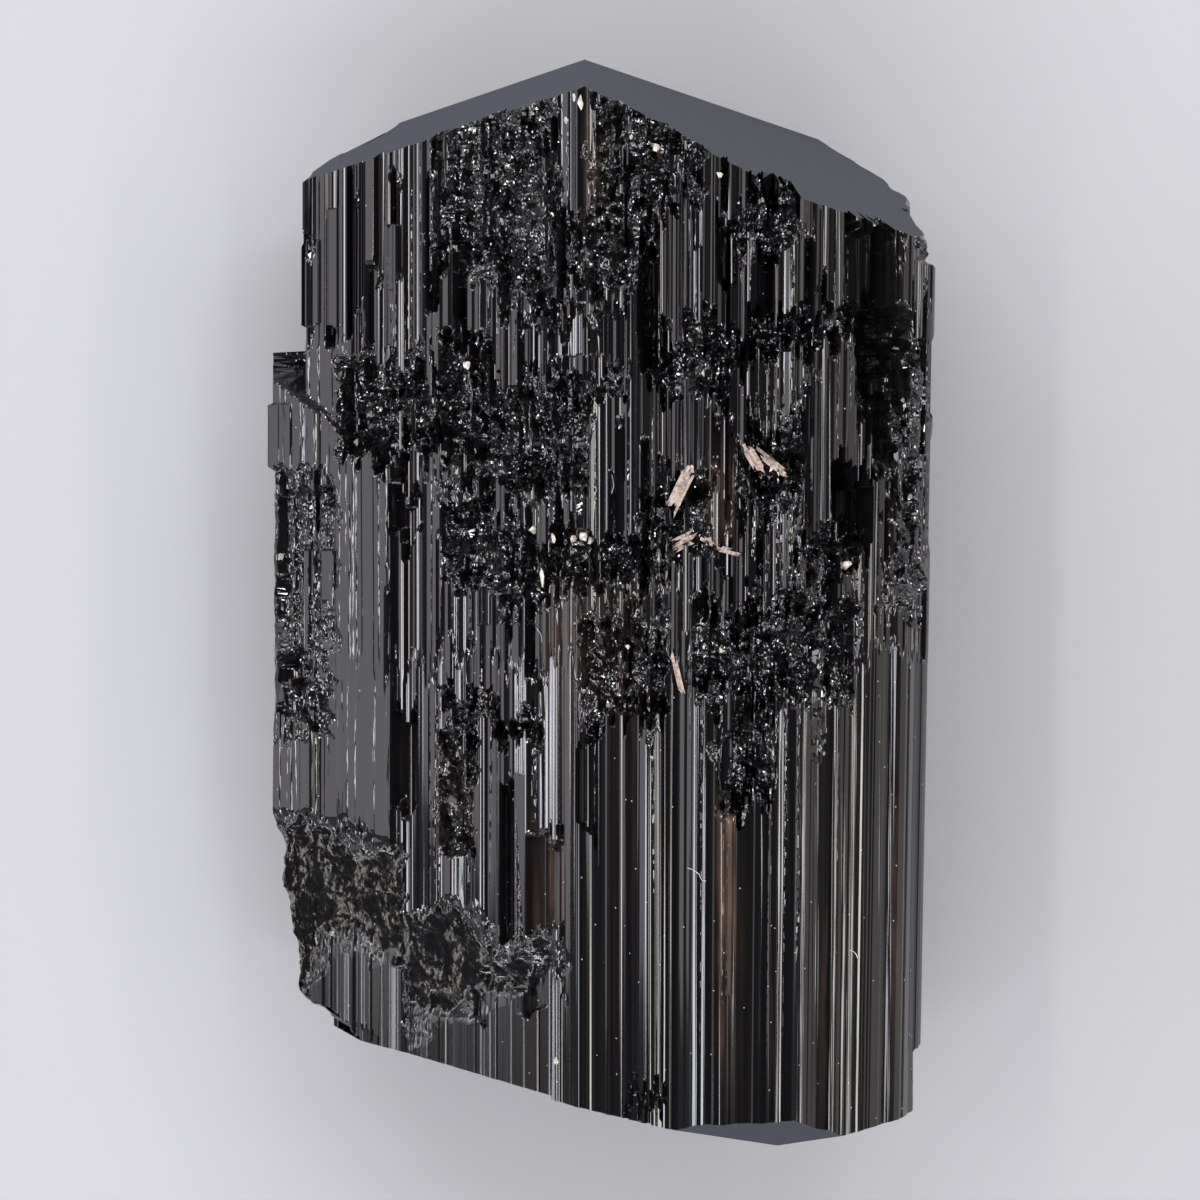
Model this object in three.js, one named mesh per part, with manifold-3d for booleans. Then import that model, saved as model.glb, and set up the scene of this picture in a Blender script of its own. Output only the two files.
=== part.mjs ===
// A doubly terminated black tourmaline (schorl) crystal, lying on its flat back.
// Millimetres. X runs across the crystal, Y along its long (c) axis, Z up from the surface it lies on.
// The striated prism is extruded along Y, its ends are cut to crystal faces, and the hollows that
// natural etching left in the upper side are cut as rows of flutes that follow the c axis.
import * as THREE from 'three';
import { mergeVertices } from 'three/addons/utils/BufferGeometryUtils.js';
import Module from 'manifold-3d';

const wasm = await Module();
wasm.setup();

// Driving dimensions
const LENGTH = 56;
const WIDTH = 34.8;
const THICKNESS = 20;
const TAPER = 0.06; // share of its half width that the right side loses over the whole length
const WIDEST_AT = 17.4; // y at which the right side has its full half width

// Upper and lower apex: the points that the end faces pass through
const TOP_APEX = new THREE.Vector3(-0.8, LENGTH / 2, 11.7);
const BOTTOM_APEX = new THREE.Vector3(9.1, -LENGTH / 2, 17.2);

// End faces: azimuth is the way the face looks, seen from its end, with 270 facing straight up from the
// surface that the crystal lies on, and slope is its angle to a plane square to the c axis, in degrees
const END_FACES = [
  { end: 1, azimuth: 210, slope: 28.6 },
  { end: 1, azimuth: 330, slope: 28.6 },
  { end: 1, azimuth: 90, slope: 28.6 },
  { end: -1, azimuth: 150, slope: 13 },
  { end: -1, azimuth: 30, slope: 13 },
  { end: -1, azimuth: 270, slope: 27.3 },
];

// Corners of the prism's cross-section, seen from the bottom end with X to the right and Z up.
// The upper side has its own striae below, and the other faces get uneven striae of a width and depth.
const HALF = WIDTH / 2;
const UPPER_SIDE = [[-15.4, 9.4], [-1.2, 17.9], [5.2, 19.5], [10.4, THICKNESS], [16.2, 16.7], [HALF, 14.2]];
const OTHER_SIDES = [
  { x: HALF, z: 14.2, stria: 1.2, depth: 0.12 },
  { x: HALF, z: 9.6, stria: 1, depth: 0.2 },
  { x: 14.8, z: 6.7, stria: 1.2, depth: 0.2 },
  { x: 11.2, z: 4.45, stria: 1.1, depth: 0.25 },
  { x: 8, z: 0, stria: 0, depth: 0 },
  { x: -7, z: 0, stria: 1.1, depth: 0.25 },
  { x: -10.75, z: 6.3, stria: 1.1, depth: 0.2 },
];

// Striae on the upper side: stretches of x where the surface climbs out of a groove or drops into one
const CLIMBS = [
  [-1.6, -1.25], [-0.8, -0.4], [0.1, 0.35], [0.95, 1.35], [2, 2.4], [5.35, 5.65], [7, 7.35], [9.4, 9.7],
  [10.9, 11.1], [11.65, 12.25], [13.5, 13.9], [14.2, 14.45], [15.35, 15.75],
];
const DROPS = [
  [-10.3, -9.95], [-9.55, -9.3], [-7.8, -7.1], [-6.2, -5.9], [-5, -4.7], [-3.7, -3.1], [-2.3, -2],
  [3.35, 4.1],
];
const STRIA_SLOPE = 0.32;

// A smaller crystal grown side by side with the main one along its left edge, with a sloping top face
const SIDE_CRYSTAL = {
  section: [
    [-17.1, 7.2], [-17.1, 9], [-14.8, 10.36], [-14.6, 10.25], [-10.9, 12.5], [-10.5, 11.6], [-14, 6.4],
  ],
  bottom: -24,
  top: 12.9,
  topSlope: 45, // degrees between its top face and the surface that the crystal lies on
  topTurn: 8, // degrees that the top face is turned to the right
  topFront: [-16.5, 10.9, 9.4], // a point of the top face's lower edge
};
const EDGE_STUBS = [
  { section: [[-HALF, 7.4], [-HALF, 8.9], [-16.2, 9.65], [-16.2, 7.4]], bottom: 6.8, top: 10.2 },
  { section: [[-15.6, 8.6], [-15.6, 9.4], [-14.6, 10], [-14.6, 8.6]], bottom: 14.7, top: 18.6 },
];

// Deep slots and holes eaten along the c axis: x across, y along, depth below the upper side
const SLOTS = [
  { x: [1.95, 2.6], y: [12.3, 19.7], depth: 2 },
  { x: [-7.65, -6.95], y: [12.6, 19.4], depth: 1.4 },
  { x: [5.95, 6.9], y: [16.3, 19.8], depth: 1.8 },
  { x: [8.05, 8.85], y: [13.9, 18.1], depth: 1.5 },
  { x: [12.6, 14], y: [13.2, 19.4], depth: 2.2 },
  { x: [14, 15.2], y: [13.5, 18.7], depth: 4.5 },
  { x: [8.2, 10.2], y: [20.3, 22.4], depth: 2.8 }, // hole under the right top face
  { x: [13.3, 16], y: [9.6, 14], depth: 6 }, // large cavity near the right edge
  { x: [14, 15.2], y: [6.4, 11], depth: 5 },
  { x: [11.9, 14], y: [2.4, 6.6], depth: 3.6 },
  { x: [11.55, 12.35], y: [-0.4, 1.3], depth: 1.6 },
  { x: [-5.15, -4.45], y: [-17.9, -8.2], depth: 1.5 },
  { x: [-10.75, -9.55], y: [-11.9, -5.1], depth: 0.9 },
  { x: [-10.9, -9.2], y: [2.8, 6.6], depth: 1 },
  { x: [-3.9, -3], y: [-5.3, 1.2], depth: 1 },
  { x: [-3.85, -1.9], y: [-17.9, -11.8], depth: 0.7 }, // below a block that is left standing
  { x: [-1.2, -0.2], y: [-12, -6], depth: 1.3 },
];

// Rough etched fields, with knobs and pits in their floors
const FIELDS = [
  { x: [-8.6, -2.3], y: [15.6, 25.6], depth: 0.9 }, // left of the top ridge
  { x: [-0.2, 5.2], y: [19.9, 25.8], depth: 1 }, // right of the top ridge
  { x: [-1.7, 2], y: [15.4, 20.2], depth: 0.7 },
  { x: [-4.1, 1.2], y: [11.2, 15.4], depth: 0.5 },
  { x: [-13.4, -5.2], y: [7.4, 12.8], depth: 1.6 }, // dark band below the upper left columns
  { x: [-8.2, -0.6], y: [5.6, 11.4], depth: 1 },
  { x: [-8.2, -4.1], y: [0, 4.8], depth: 1 },
  { x: [-4, 2.3], y: [0.6, 3.6], depth: 1.3 },
  { x: [7, 9.9], y: [17.8, 21], depth: 0.9 },
  { x: [5.3, 13.3], y: [12.4, 14.6], depth: 1.1 },
  { x: [2.9, 6.5], y: [10.3, 13.5], depth: 0.8 },
  { x: [6.7, 10.5], y: [4.3, 9], depth: 0.8 },
  { x: [2.2, 6.6], y: [1.7, 6.5], depth: 0.7 },
  { x: [10, 13], y: [1.2, 2.6], depth: 0.9 },
  { x: [14.9, 16.6], y: [-1.1, 13.4], depth: 0.5 },
  { x: [-1, 3.3], y: [-6.1, -0.6], depth: 0.9 }, // ragged lower fringe of the etched part
  { x: [4.7, 13], y: [-5.7, -0.2], depth: 1 },
  { x: [6.1, 8.9], y: [-10.3, -5.4], depth: 0.8 },
  { x: [-17.3, -13.8], y: [-6.8, 6.8], depth: 0.15 }, // strip along the left edge
  { x: [-8.3, -6.6], y: [-13.5, -7.5], depth: 0.8 },
  { x: [-8.2, -3.4], y: [-6.9, -5.6], depth: 0.9 },
];
const FLUTE_WIDTH = 1; // typical width of one flute
const FLUTE_LAP = 0.06; // overlap of neighbouring flutes, so that no thin wall stands between them
const RAGGED_END = 1.8; // most that a flute's end falls short of its hollow's
const FLUTE_RAMP = 0.35; // run of a flute's sloping end, per millimetre of depth
const ABOVE_FACE = 1.6; // how far a flute reaches above the prism face, clear of the side crystal
const PITS_PER_MM2 = 0.06; // faceted pits sunk in the floors of the hollows
const KNOBS_PER_MM2 = 0.1; // faceted knobs left standing in them
const LUMP_RADIUS = [0.5, 0.95];
const LUMP_MARGIN = 0.2;

// A slab broken off the lower left: corners, from left to right, of the sloping ledge that the break left.
// The break starts at the prism face at y top, is at its depth at y foot, and runs on down to the lower end.
const LEDGE = [
  { x: -18, top: -11.6, foot: -20, depth: 0.5 },
  { x: -14.2, top: -12.2, foot: -17.8, depth: 0.9 },
  { x: -10.4, top: -13.6, foot: -18, depth: 1.2 },
  { x: -10.2, top: -16.6, foot: -21.8, depth: 1.3 },
  { x: -6.5, top: -17.2, foot: -20.4, depth: 1.3 },
  { x: -2.6, top: -18.4, foot: -19.4, depth: 1.3 },
];
const LEDGE_RAGGED = 0.5; // most that a place on the ledge's rims is off the line
const LEDGE_POCKET = { x: [-6.6, -2.8], y: [-21.6, -19], depth: 2 };
const CHIP = { x: [1.2, 3.4], y: [-26.3, -24.9], depth: 0.5 }; // at the lower edge

// Corners that are broken off through the whole thickness, seen from above
const OUTSIDE = 24; // beyond the crystal on every side
const BROKEN_CORNERS = [
  [
    [-17.6, -15], [-16.5, -16.3], [-16.4, -17.9], [-15.5, -20], [-13.1, -21.8], [-11.6, -22.8],
    [-11.6, -OUTSIDE * 2], [-OUTSIDE, -OUTSIDE * 2], [-OUTSIDE, -15],
  ],
  [
    [15.1, 21.9], [15.1, OUTSIDE * 2], [OUTSIDE, OUTSIDE * 2], [OUTSIDE, 17.4],
    [17.4, 17.4], [16.8, 18.8], [15.9, 20.6],
  ],
  [[16.2, -23.1], [OUTSIDE, -22.8], [OUTSIDE, -OUTSIDE * 2], [16.2, -OUTSIDE * 2]],
];

// Repeatable pseudo-random numbers from 0 to 1
function seeded(seed) {
  let state = seed;
  return () => {
    state = (state + 0x6d2b79f5) | 0;
    let t = Math.imul(state ^ (state >>> 15), 1 | state);
    t = (t + Math.imul(t ^ (t >>> 7), 61 | t)) ^ t;
    return ((t ^ (t >>> 14)) >>> 0) / 4294967296;
  };
}

function between(random, low, high) {
  return low + (high - low) * random();
}

// A closed three.js geometry as a solid that can be joined and cut
function solidFrom(geometry) {
  const bare = geometry.index ? geometry.toNonIndexed() : geometry.clone();
  bare.deleteAttribute('normal');
  bare.deleteAttribute('uv');
  const merged = mergeVertices(bare, 1e-4);
  return new wasm.Manifold(new wasm.Mesh({
    numProp: 3,
    vertProperties: new Float32Array(merged.attributes.position.array),
    triVerts: new Uint32Array(merged.index.array),
  }));
}

function geometryFrom(solid) {
  const mesh = solid.getMesh();
  const geometry = new THREE.BufferGeometry();
  geometry.setAttribute('position', new THREE.BufferAttribute(new Float32Array(mesh.vertProperties), 3));
  geometry.setIndex(new THREE.BufferAttribute(new Uint32Array(mesh.triVerts), 1));
  geometry.computeVertexNormals();
  return geometry;
}

// An outline of [x, y] points seen from above, as a block from z low to z high
function block(points, low, high) {
  const shape = new THREE.Shape(points.map(([x, y]) => new THREE.Vector2(x, y)));
  const geometry = new THREE.ExtrudeGeometry(shape, { depth: high - low, bevelEnabled: false });
  return solidFrom(geometry.translate(0, 0, low));
}

// An outline of [x, z] points square to the c axis, as a prism from y bottom to y top
function prism(points, bottom, top, shiftX = (x) => x) {
  const shape = new THREE.Shape(points.map(([x, z]) => new THREE.Vector2(x, z)));
  const geometry = new THREE.ExtrudeGeometry(shape, { depth: top - bottom, bevelEnabled: false });
  geometry.rotateX(Math.PI / 2).translate(0, top, 0);
  const position = geometry.attributes.position;
  for (let i = 0; i < position.count; i += 1) {
    position.setX(i, shiftX(position.getX(i), position.getY(i)));
  }
  return solidFrom(geometry);
}

// Height of the prism's upper side at x, before striae and hollows
function upperSide(x) {
  const found = UPPER_SIDE.findIndex((corner) => corner[0] > x);
  const i = found < 0 ? UPPER_SIDE.length - 1 : Math.max(found, 1);
  const [[ax, az], [bx, bz]] = [UPPER_SIDE[i - 1], UPPER_SIDE[i]];
  return az + ((bz - az) * (x - ax)) / (bx - ax);
}

// The upper side from left to right, with its corners and the two edges of every stria
function upperOutline() {
  const climbs = CLIMBS.flatMap(([groove, ridge]) => [[groove, STRIA_SLOPE * (ridge - groove)], [ridge, 0]]);
  const drops = DROPS.flatMap(([ridge, groove]) => [[ridge, 0], [groove, STRIA_SLOPE * (groove - ridge)]]);
  const corners = UPPER_SIDE.slice(0, -1).map(([x]) => [x, 0]);
  const edges = [...climbs, ...drops, ...corners].sort((a, b) => a[0] - b[0]);
  return edges.map(([x, into]) => [x, upperSide(x) - into]);
}

// The other sides, each broken into striae of uneven width and depth
function otherOutline(random) {
  return OTHER_SIDES.flatMap((corner, i) => {
    const next = OTHER_SIDES[i + 1] ?? { x: UPPER_SIDE[0][0], z: UPPER_SIDE[0][1] };
    const face = new THREE.Vector2(next.x - corner.x, next.z - corner.z);
    const inward = new THREE.Vector2(face.y, -face.x).normalize();
    const points = [[corner.x, corner.z]];
    const count = corner.stria ? Math.round(face.length() / corner.stria) : 1;
    for (let k = 1; k < count; k += 1) {
      const along = (k + between(random, -0.35, 0.35)) / count;
      const into = corner.depth * (k % 2 ? between(random, 0.5, 1) : between(random, 0, 0.4));
      points.push([corner.x + face.x * along + inward.x * into, corner.z + face.y * along + inward.y * into]);
    }
    return points;
  });
}

// Everything on the outer side of a plane through a point, as a large box
function beyondPlane(point, normal) {
  const size = LENGTH * 3;
  const box = new THREE.BoxGeometry(size, size, size);
  box.applyQuaternion(new THREE.Quaternion().setFromUnitVectors(new THREE.Vector3(0, 0, 1), normal));
  const centre = point.clone().addScaledVector(normal, size / 2);
  return solidFrom(box.translate(centre.x, centre.y, centre.z));
}

function beyondEndFace({ end, azimuth, slope }) {
  const [turn, lean] = [azimuth, slope].map(THREE.MathUtils.degToRad);
  const across = Math.sin(lean);
  const normal = new THREE.Vector3(Math.cos(turn) * across, end * Math.cos(lean), -Math.sin(turn) * across);
  return beyondPlane(end > 0 ? TOP_APEX : BOTTOM_APEX, normal);
}

function sideCrystal() {
  const { section, bottom, top, topSlope, topTurn, topFront } = SIDE_CRYSTAL;
  const [slope, turn] = [topSlope, topTurn].map(THREE.MathUtils.degToRad);
  const normal = new THREE.Vector3(Math.sin(turn), Math.cos(turn), 0).multiplyScalar(Math.sin(slope));
  normal.z = Math.cos(slope);
  let grown = prism(section, bottom, top).subtract(beyondPlane(new THREE.Vector3(...topFront), normal));
  for (const stub of EDGE_STUBS) grown = grown.add(prism(stub.section, stub.bottom, stub.top));
  return grown;
}

// A flute with both ends sloping out towards the rim. Its ends and the depths of its floor below the
// prism face are given at four corners: lower left, lower right, upper left, upper right.
function flute(left, right, ends, floors) {
  const box = new THREE.BoxGeometry(1, 1, 1);
  const corner = box.attributes.position;
  for (let i = 0; i < corner.count; i += 1) {
    const x = corner.getX(i) < 0 ? left : right;
    const rim = corner.getZ(i) > 0;
    const at = (corner.getY(i) < 0 ? 0 : 2) + (x === left ? 0 : 1);
    const out = rim ? Math.sign(corner.getY(i)) * FLUTE_RAMP * (floors[at] + ABOVE_FACE) : 0;
    corner.setXYZ(i, x, ends[at] + out, upperSide(x) + (rim ? ABOVE_FACE : -floors[at]));
  }
  return solidFrom(box);
}

// One hollow: flutes side by side, each with its own depth and ragged ends
function hollow({ x, y, depth }, random) {
  const count = Math.max(1, Math.round((x[1] - x[0]) / FLUTE_WIDTH));
  const width = (x[1] - x[0]) / count;
  const ragged = Math.min(RAGGED_END, (y[1] - y[0]) * 0.35);
  const walls = Array.from({ length: count + 1 }, (_, k) => {
    const uneven = k > 0 && k < count ? between(random, -0.35, 0.35) : 0;
    return x[0] + (k + uneven) * width;
  });
  return Array.from({ length: count }, (_, k) => {
    const left = walls[k] - FLUTE_LAP * random();
    const right = walls[k + 1] + FLUTE_LAP * random();
    const ends = [y[0], y[0], y[1], y[1]].map((end, i) => end + (i < 2 ? ragged : -ragged) * random());
    const floors = [between(random, 0.5, 1), between(random, 0.5, 1)].map((share) => share * depth);
    return flute(left, right, ends, [...floors, ...floors]);
  });
}

// The broken ledge: strips that slope down from the prism face, and the lower level that they end on
function ledge(random) {
  const rims = LEDGE.slice(1).flatMap((end, i) => {
    const start = LEDGE[i];
    const count = Math.max(1, Math.round((end.x - start.x) / FLUTE_WIDTH));
    return Array.from({ length: count }, (_, k) => {
      const at = (key) => start[key] + ((end[key] - start[key]) * k) / count;
      const uneven = () => between(random, -LEDGE_RAGGED, LEDGE_RAGGED);
      return { x: at('x'), top: at('top') + uneven(), foot: at('foot') + uneven(), depth: at('depth') };
    });
  });
  rims.push(LEDGE.at(-1));
  return rims.slice(1).flatMap((right, i) => {
    const left = rims[i];
    const lapped = right.x + FLUTE_LAP;
    const deep = [left.depth, right.depth];
    const slope = flute(left.x, lapped, [left.foot, right.foot, left.top, right.top], [...deep, 0, 0]);
    const level = flute(left.x, lapped, [-LENGTH, -LENGTH, left.foot, right.foot], [...deep, ...deep]);
    return [slope, level];
  });
}

// Faceted lumps of random size and turn, scattered over a hollow at a share of its depth
function lumps({ x, y, depth }, perArea, share, random) {
  const count = Math.round((x[1] - x[0]) * (y[1] - y[0]) * perArea);
  return Array.from({ length: count }, () => {
    const [atX, atY] = [x, y].map(([low, high]) => between(random, low + LUMP_MARGIN, high - LUMP_MARGIN));
    const lump = new THREE.IcosahedronGeometry(between(random, ...LUMP_RADIUS), 0);
    lump.rotateX(random() * Math.PI).rotateY(random() * Math.PI).scale(1, 1.3, 0.8);
    lump.translate(atX, atY, upperSide(atX) - depth * share);
    return solidFrom(lump);
  });
}

function crystal() {
  const random = seeded(7);
  const taper = (x, y) => (x > 0 ? x * (1 - (TAPER * (WIDEST_AT - y)) / LENGTH) : x);
  const outline = [...upperOutline(), ...otherOutline(random)];
  const prismOnly = prism(outline, -LENGTH, LENGTH, taper).add(sideCrystal());
  let solid = prismOnly;
  for (const field of FIELDS) {
    for (const cut of hollow(field, random)) solid = solid.subtract(cut);
    for (const knob of lumps(field, KNOBS_PER_MM2, 1, random)) solid = solid.add(knob.intersect(prismOnly));
    for (const pit of lumps(field, PITS_PER_MM2, 0.5, random)) solid = solid.subtract(pit);
  }
  for (const slot of [...SLOTS, LEDGE_POCKET, CHIP]) {
    for (const cut of hollow(slot, random)) solid = solid.subtract(cut);
  }
  for (const cut of ledge(random)) solid = solid.subtract(cut);
  for (const corner of BROKEN_CORNERS) solid = solid.subtract(block(corner, -1, THICKNESS + 1));
  for (const face of END_FACES) solid = solid.subtract(beyondEndFace(face));
  return solid;
}

const schorl = new THREE.MeshStandardMaterial({ color: 0x17171a, roughness: 0.25, metalness: 0 });

const part = new THREE.Group();
const mesh = new THREE.Mesh(geometryFrom(crystal()), schorl);
mesh.name = 'crystal';
part.add(mesh);

export default part;
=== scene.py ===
"""A black tourmaline crystal lying on its flat back, with fine striae, hackly etching and pale grains."""
import math
import bmesh
import bpy
import numpy as np
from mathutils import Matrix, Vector
from mathutils.bvhtree import BVHTree


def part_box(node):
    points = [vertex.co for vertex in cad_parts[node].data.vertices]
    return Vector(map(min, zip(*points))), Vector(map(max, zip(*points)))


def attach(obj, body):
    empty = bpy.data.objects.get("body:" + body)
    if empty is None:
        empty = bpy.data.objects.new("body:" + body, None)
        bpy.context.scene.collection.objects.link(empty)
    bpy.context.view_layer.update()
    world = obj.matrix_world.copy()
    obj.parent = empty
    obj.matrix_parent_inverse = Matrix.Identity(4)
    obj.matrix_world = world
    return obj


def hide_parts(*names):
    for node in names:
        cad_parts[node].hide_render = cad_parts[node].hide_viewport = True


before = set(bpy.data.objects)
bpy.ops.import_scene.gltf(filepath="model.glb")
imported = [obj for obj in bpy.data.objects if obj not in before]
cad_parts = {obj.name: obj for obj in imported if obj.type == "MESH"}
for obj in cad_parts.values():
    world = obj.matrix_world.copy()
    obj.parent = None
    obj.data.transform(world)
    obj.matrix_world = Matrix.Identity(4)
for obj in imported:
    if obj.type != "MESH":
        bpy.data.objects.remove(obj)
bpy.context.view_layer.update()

# The crystal's sizes are in millimetres, and the studio's in metres
MM = 0.001
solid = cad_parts["crystal"]
lowest, highest = [np.array(corner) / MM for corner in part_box("crystal")]
LENGTH = highest[1] - lowest[1]

# The photograph's frame: its side in pixels, millimetres per pixel, and the pixel over the origin
PHOTO_SIZE = 1200
MM_PER_PIXEL = 0.0518
PHOTO_CENTRE = 599.5

# End faces, as in the solid: apex, way along the axis, degrees round the axis, slope to a square cut
TOP_APEX = (-0.8, LENGTH / 2, 11.7)
BOTTOM_APEX = (9.1, -LENGTH / 2, 17.2)
END_FACES = [
    (TOP_APEX, 1, 210, 28.6),
    (TOP_APEX, 1, 330, 28.6),
    (TOP_APEX, 1, 90, 28.6),
    (BOTTOM_APEX, -1, 150, 13),
    (BOTTOM_APEX, -1, 30, 13),
    (BOTTOM_APEX, -1, 270, 27.3),
]

# A face of the mesh belongs to an end face when it is nearer than this and looks the same way to this share
ON_PLANE = 0.01
SAME_WAY = 0.9

# The right side narrows downwards, as in the solid: share lost over the length, and y where it is widest
TAPER = 0.06
WIDEST_AT = 17.4

# Spacing of the fine surface round the upper side, the flanks and the underside, and along the axis
UPPER_STEP = 0.08
SIDE_STEP = 0.22
UNDER_STEP = 0.6
ROW_STEP = 0.115

# A place's upward look is the z of its outward direction: the upper side's and the flanks' are over these
UPPER_FROM = 0.15
SIDE_FROM = -0.95

# Outward directions are a mean over this far to each side, from this many places
MEAN_REACH = 2.5
MEAN_PLACES = 21

# Triangles that the fine surface is thinned to, and how far it runs past the end faces before they are cut
TRIANGLES = 192000
OVERHANG = 0.5

# Rays that read the solid: how far outside they start, how far they go, least distance to an end face
RAY_CLEAR = 3.0
RAY_REACH = 10.0
END_MARGIN = 0.05

# Heights over which the features of the upper side and those of the ledge fade in
UPPER_FADE = (6.5, 8)
LEDGE_FADE = (4, 6)

# Upward looks over which relief fades in, so that the underside stays flat
UNDERSIDE_FADE = (-0.97, -0.9)

# Columns of the etched side: widths, how far their ends stand apart, and where that fades out on each side
WIDE_COLUMN = 0.62
NARROW_COLUMN = 0.24
WIDE_SHIFT = 1.7
NARROW_SHIFT = 1.1
COLUMNS_LEFT = (-13.6, -12.4)
COLUMNS_RIGHT = (16.4, 15.4)

# Striae: width of the steps between treads, y over which they turn finer, and upward looks of that side
STEP_WIDTH = (0.08, 0.14)
FINER_FADE = (-3.5, -2.5)
FINER_SIDE = (0.1, 0.4)

# Shares of the striae lost on smooth faces and in rough places, and of the slots lost in rough places
STRIAE_LOST_SMOOTH = 0.8
STRIAE_LOST_ROUGH = 0.8
SLOTS_LOST_ROUGH = 0.7

# Depth of the low waves on smooth faces
LOW_WAVES = 0.1

# Hackly fields on the upper side: left, right, bottom, top
HACKLY = [
    (-8.7, -2.3, 15.6, 26.5),
    (-0.4, 5.4, 19.8, 26.5),
    (-1.7, 2.0, 15.9, 20.2),
    (-4.3, 1.4, 11.0, 12.0),
    (-13.6, -5.2, 7.4, 12.8),
    (-8.4, -0.5, 5.6, 11.4),
    (-8.2, -4.1, 0.0, 4.8),
    (-4.0, 2.3, 0.6, 3.4),
    (7.0, 9.9, 17.8, 21.0),
    (5.3, 13.3, 12.4, 14.4),
    (2.9, 6.5, 10.3, 13.5),
    (7.4, 10.5, 4.3, 9.0),
    (2.2, 5.4, 1.7, 6.5),
    (10.0, 13.0, 1.0, 2.6),
    (14.9, 16.7, -1.1, 13.4),
    (-1.0, 3.3, -6.1, -0.6),
    (4.7, 13.0, -5.7, -0.2),
    (6.1, 8.9, -10.3, -5.4),
    (-17.4, -13.8, -7.2, 6.7),
    (-8.3, -6.6, -13.5, -7.5),
    (-8.2, -3.4, -6.9, -5.6),
    (14.3, 17.4, 17.6, 22.2),
]
HACKLY_EDGE = 0.3

# Columns of the hackly fields: width, length, and the share that is etched, the rest being left standing
STANDING_WIDTH = 0.33
STANDING_LENGTH = 2.6
ETCHED_SHARE = 0.86

# Lightly etched strip on the left edge: left, right, bottom, top, and its share of the full depth
LIGHTLY_ETCHED = (-17.6, -13.2, -8.0, 7.4)
LIGHT_EDGE = 0.4
LIGHT_SHARE = 0.3

# Broken ledge at the lower left, as in the solid: x, y where it leaves the prism face, y of its foot
LEDGE = [
    (-18.0, -11.6, -20.0),
    (-14.2, -12.2, -17.8),
    (-10.4, -13.6, -18.0),
    (-10.2, -16.6, -21.8),
    (-6.5, -17.2, -20.4),
    (-2.6, -18.4, -19.4),
]
LEDGE_EDGE = 1.8

# Round the ledge, borders sweep and have no fingers: x and y over which that begins
SWEEPING_X = (-1.5, -2.5)
SWEEPING_Y = (-10.5, -12.5)

# Broken skin of the ledge: width of its border, strength of the border's speckles, and where it turns
BROKEN_EDGE = 2.2
BROKEN_SPECKLE = 0.7
BROKEN_TURN = (0.4, 0.6)

# Narrow slots at random in the etched side: number, leftmost edge, and ranges of their sizes
SLOT_COUNT = 130
SLOTS_LEFT = -17.5
SLOT_WIDTH = (0.12, 0.5)
SLOT_MIDDLE = (-4, 22)
SLOT_HALF_LENGTH = (0.8, 5)
SLOT_DEPTHS = [0.1, 0.2, 0.5, 0.9]
SLOTS_FADE = (-4.5, -3.5)

# Black slots beside the deep ones of the solid: left, right, bottom, top, depth
BLACK_SLOTS = [
    (1.95, 3.0, 11.8, 19.6, 1.3),
    (1.95, 3.7, 11.4, 14.6, 1.3),
    (-2.3, -1.8, 15.8, 20.2, 1.0),
    (-7.7, -6.9, 12.6, 19.6, 0.5),
]

# Smooth growth faces with hardly any striae: left, right, bottom, top
SMOOTH = [
    (-14.7, -10.8, -14.5, 7.6),
    (-17.6, -15.5, -19.0, -7.0),
    (-17.6, -13.2, 6.6, 13.4),
]
SMOOTH_EDGE = 1.0

# Sloping top face of the side crystal, which has a straight border: left, right, bottom, top
SIDE_TOP = (-18.0, -14.2, 9.2, 13.6)
SIDE_TOP_EDGE = 0.8

# Columns with a dull skin below the broken ledge: left, right, bottom, top
DULL = [(-18.0, -2.4, -30.0, -17.0)]
DULL_EDGE = 1.0

# Flat columns leaned to a lamp, or away to stay dark: left, right, bottom, top, degrees to the right
LEANING = [
    (-1.45, -0.85, 3.5, 6.6, -21.5),
    (-4.5, -3.9, -18.2, -8.8, -21.5),
    (-6.4, -5.7, -6.0, -1.2, -21.5),
    (11.1, 11.7, -8.5, -2.2, 23.0),
    (6.75, 7.0, -20.5, -11.0, 23.0),
    (2.9, 3.3, -25.5, -6.5, 23.0),
    (-11.2, -10.6, 13.0, 19.5, -21.5),
    (-14.2, -13.7, 14.0, 20.5, -21.5),
    (4.7, 5.1, 14.0, 18.2, 23.0),
    (-2.4, 0.2, 12.4, 15.4, -31.0),
    (-3.85, -3.35, -17.4, -11.9, -47.0),
    (-3.25, -2.75, -17.0, -11.6, -46.0),
    (-2.65, -2.05, -17.6, -12.2, -47.0),
]

# Brown light from inside the crystal: left, right, bottom, top, strength
BROWN = [
    (5.9, 7.0, -16.0, -9.4, 1.8),
    (9.0, 10.4, -14.0, -6.5, 0.3),
    (-3.9, -1.6, -17.5, -11.5, 1.0),
    (-0.9, 0.4, 19.0, 25.5, 0.6),
    (-3.2, 2.4, -7.0, 2.0, 0.35),
    (6.4, 7.6, -27.0, -17.0, 0.4),
    (8.6, 9.2, -23.0, -18.0, 0.4),
    (11.4, 12.2, -23.0, -16.5, 0.4),
    (14.6, 15.6, -23.0, -14.0, 0.4),
    (5.4, 7.0, 2.0, 8.5, 0.5),
    (-8.6, -6.4, -14.0, -6.5, 0.35),
]
BROWN_SIDE_FADE = 0.2
BROWN_END_FADE = 2.5

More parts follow.
